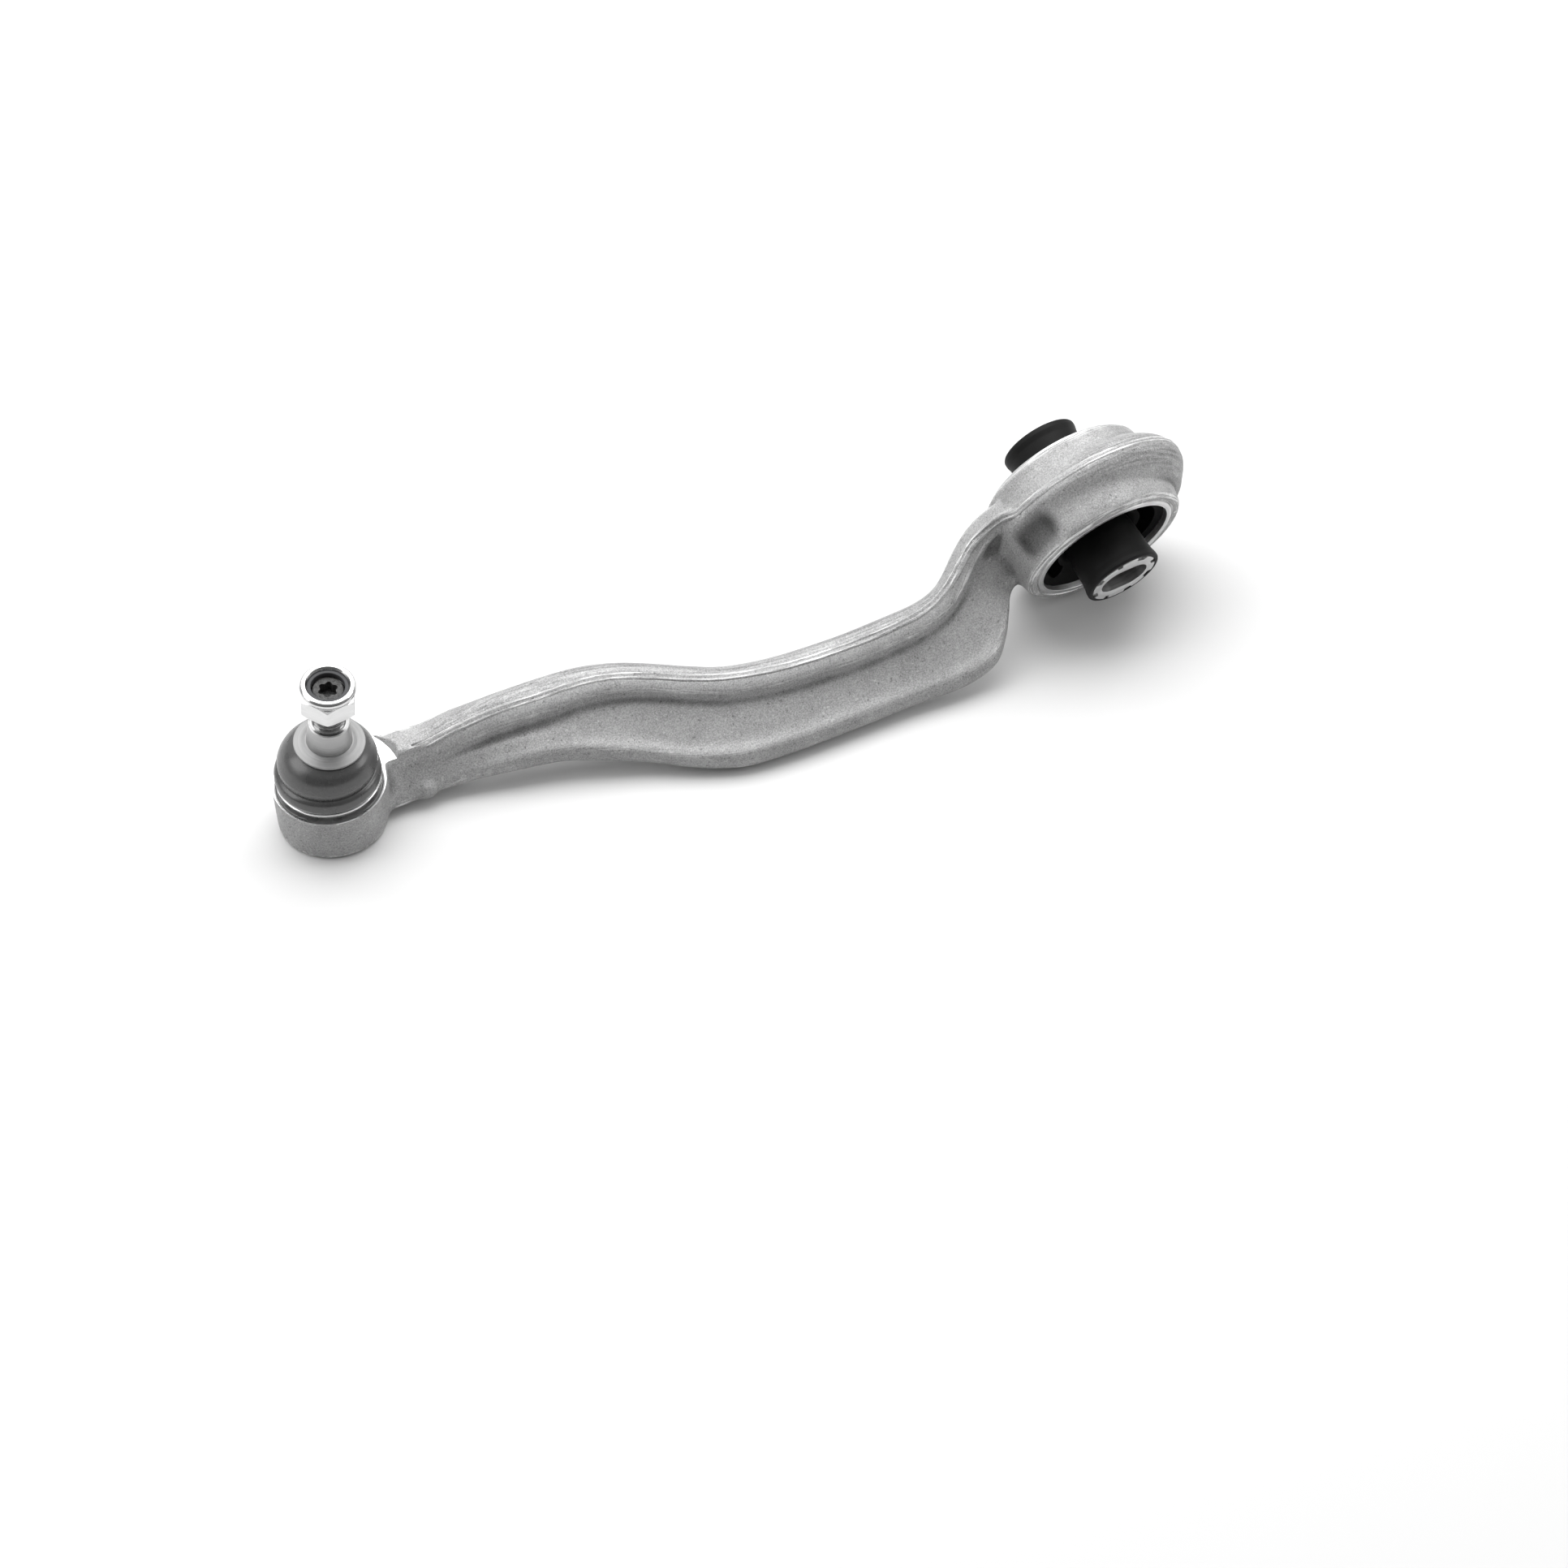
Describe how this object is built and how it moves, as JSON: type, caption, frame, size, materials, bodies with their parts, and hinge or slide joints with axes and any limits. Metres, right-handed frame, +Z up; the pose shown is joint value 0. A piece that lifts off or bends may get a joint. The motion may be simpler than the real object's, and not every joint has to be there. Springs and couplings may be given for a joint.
{
  "type": "control arm",
  "caption": "Forged aluminium suspension control arm with a sealed ball joint, its lock nut still on the stud, and a large rubber bush in a ribbed eye.",
  "frame": {"origin": "centre of the bush, midway along its bolt hole", "axes": "+X runs level from the ball joint towards and past the bush, +Z up from the plane the arm lies on, +Y completes the right-handed frame"},
  "size_m": [0.4278, 0.0881, 0.0926],
  "materials": {
    "forged_aluminium": "shot-blasted as-forged surface with machined rim and bore",
    "stud_steel": "phosphated steel, satin",
    "bearing_plastic": "natural moulded plastic",
    "spring_steel": "dark hardened steel",
    "cover_steel": "plated pressed steel",
    "boot_rubber": "satin moulded rubber",
    "bright_wire": "bright spring wire",
    "collar_steel": "turned, light grey plated",
    "zinc_steel": "bright zinc plated",
    "insert_nylon": "dark moulded nylon",
    "ring_aluminium": "bright turned ring",
    "cage_steel": "pressed steel",
    "channel_plastic": "black moulded plastic",
    "bush_rubber": "black moulded rubber",
    "sleeve_metal": "machined sleeve",
    "stop_plastic": "natural moulded plastic"
  },
  "bodies": {
    "arm": {"arm_forging": "forged_aluminium", "bearing_shell": "bearing_plastic", "preload_ring": "spring_steel", "cover_plate": "cover_steel", "boot_wire_ring": "bright_wire", "bush_outer_ring": "ring_aluminium", "window_cage": "cage_steel", "channel_ring_front": "channel_plastic", "channel_ring_rear": "channel_plastic"},
    "boot": {"dust_boot": "boot_rubber"},
    "boot_top": {"boot_collar": "collar_steel", "boot_neck_ring": "bright_wire"},
    "stud": {"ball_stud": "stud_steel"},
    "nut_insert": {"nylon_insert": "insert_nylon"},
    "nut": {"lock_nut": "zinc_steel"},
    "bush_rubber": {"rubber_spring": "bush_rubber"},
    "bush_sleeve": {"inner_sleeve": "sleeve_metal", "travel_stop": "stop_plastic", "sleeve_jacket_front": "bush_rubber", "sleeve_jacket_rear": "bush_rubber"}
  },
  "joints": [
    {"name": "stud_pitch", "type": "hinge", "parent": "arm", "child": "boot", "pos_m": [-0.352, 0, -0.0325], "axis": [0, 1, 0], "range_deg": [-16, 16], "deforming": ["dust_boot"]},
    {"name": "stud_roll", "type": "hinge", "parent": "boot", "child": "boot_top", "pos_m": [-0.352, 0, -0.0325], "axis": [1, 0, 0], "range_deg": [-16, 16], "deforming": ["dust_boot"]},
    {"name": "stud_spin", "type": "hinge", "parent": "boot_top", "child": "stud", "pos_m": [-0.352, 0, -0.0325], "axis": [0.049, -0.07, 0.9963], "continuous": true},
    {"name": "nut_travel", "type": "slide", "parent": "stud", "child": "nut_insert", "axis": [0.049, -0.07, 0.9963], "range_m": [-0.009, 0.009]},
    {"name": "nut_turn", "type": "hinge", "parent": "nut_insert", "child": "nut", "pos_m": [-0.352, 0, -0.0325], "axis": [0.049, -0.07, 0.9963], "range_deg": [-2165, 2165]},
    {"name": "bush_tilt", "type": "hinge", "parent": "arm", "child": "bush_rubber", "pos_m": [0, 0, 0], "axis": [0.9914, 0.1305, 0], "range_deg": [-3, 3], "stiffness_Nm_per_rad": 150, "deforming": ["rubber_spring"]},
    {"name": "bush_torsion", "type": "hinge", "parent": "bush_rubber", "child": "bush_sleeve", "pos_m": [0, 0, 0], "axis": [0.1239, -0.9413, -0.314], "range_deg": [-15, 15], "stiffness_Nm_per_rad": 40, "deforming": ["rubber_spring"]}
  ],
  "couplings": [
    {"joint": "nut_turn", "follows": "nut_travel", "rad_per_m": 4188.8}
  ]
}
